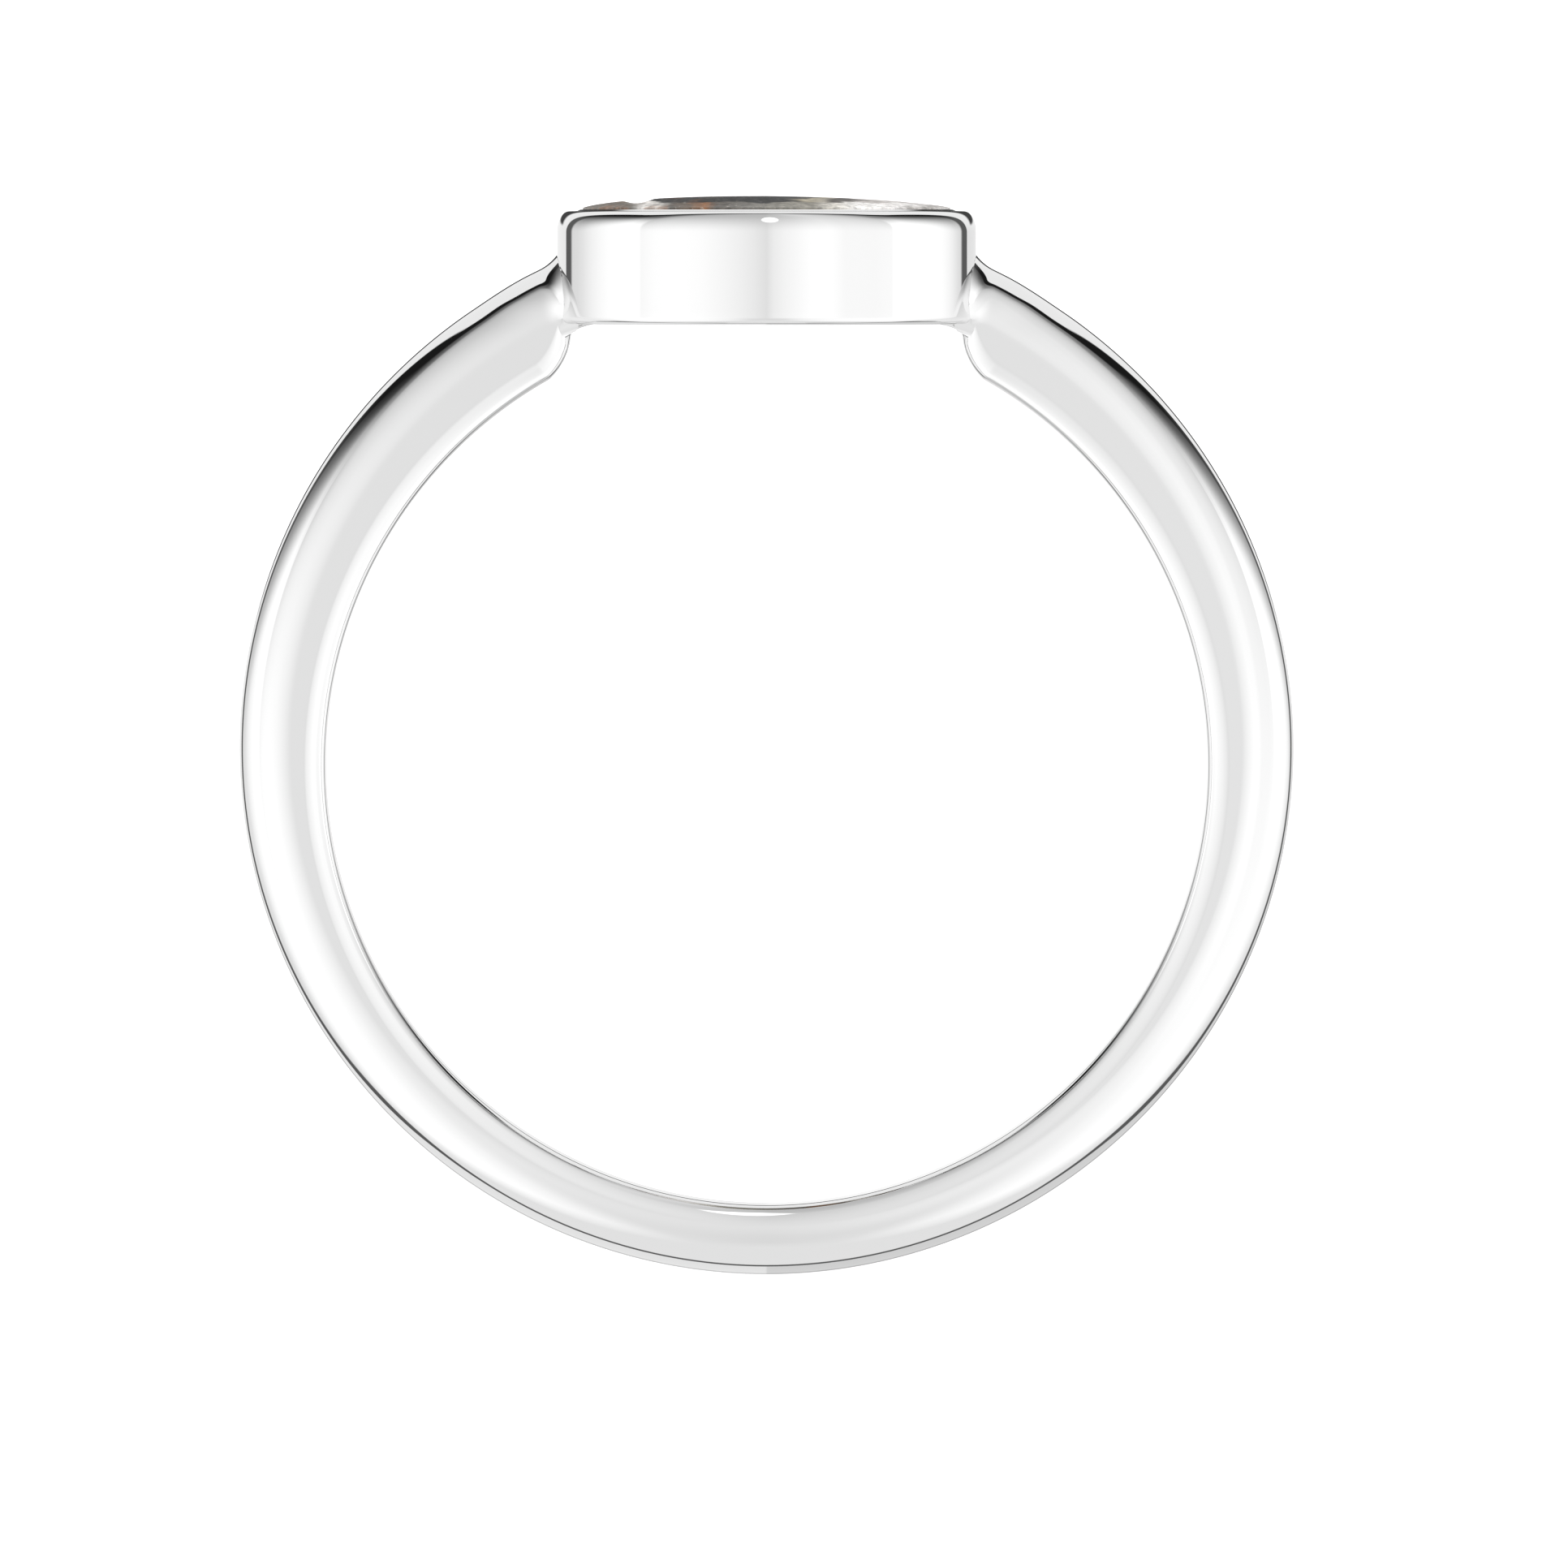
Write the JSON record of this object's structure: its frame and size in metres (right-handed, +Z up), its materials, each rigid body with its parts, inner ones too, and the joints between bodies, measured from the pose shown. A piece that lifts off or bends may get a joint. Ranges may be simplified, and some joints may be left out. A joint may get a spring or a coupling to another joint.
{
  "type": "bezel set ring",
  "caption": "Plain half round finger ring whose shoulders carry a round bezel cup, its burnished lip holding a low domed mottled cabochon.",
  "frame": {"origin": "middle of the ring's footprint on the table, at the table's height", "axes": "+X left to right across the ring, +Y along the table from the bottom of the shank to the head, +Z up; the ring lies on its side with its head raised, so the finger runs near +Z"},
  "size_m": [0.0206, 0.0212, 0.0084],
  "materials": {
    "white_metal": "mirror polished",
    "mottled_stone": "polished"
  },
  "bodies": {
    "root": {"band_and_bezel": "white_metal", "stone": "mottled_stone"}
  },
  "joints": []
}
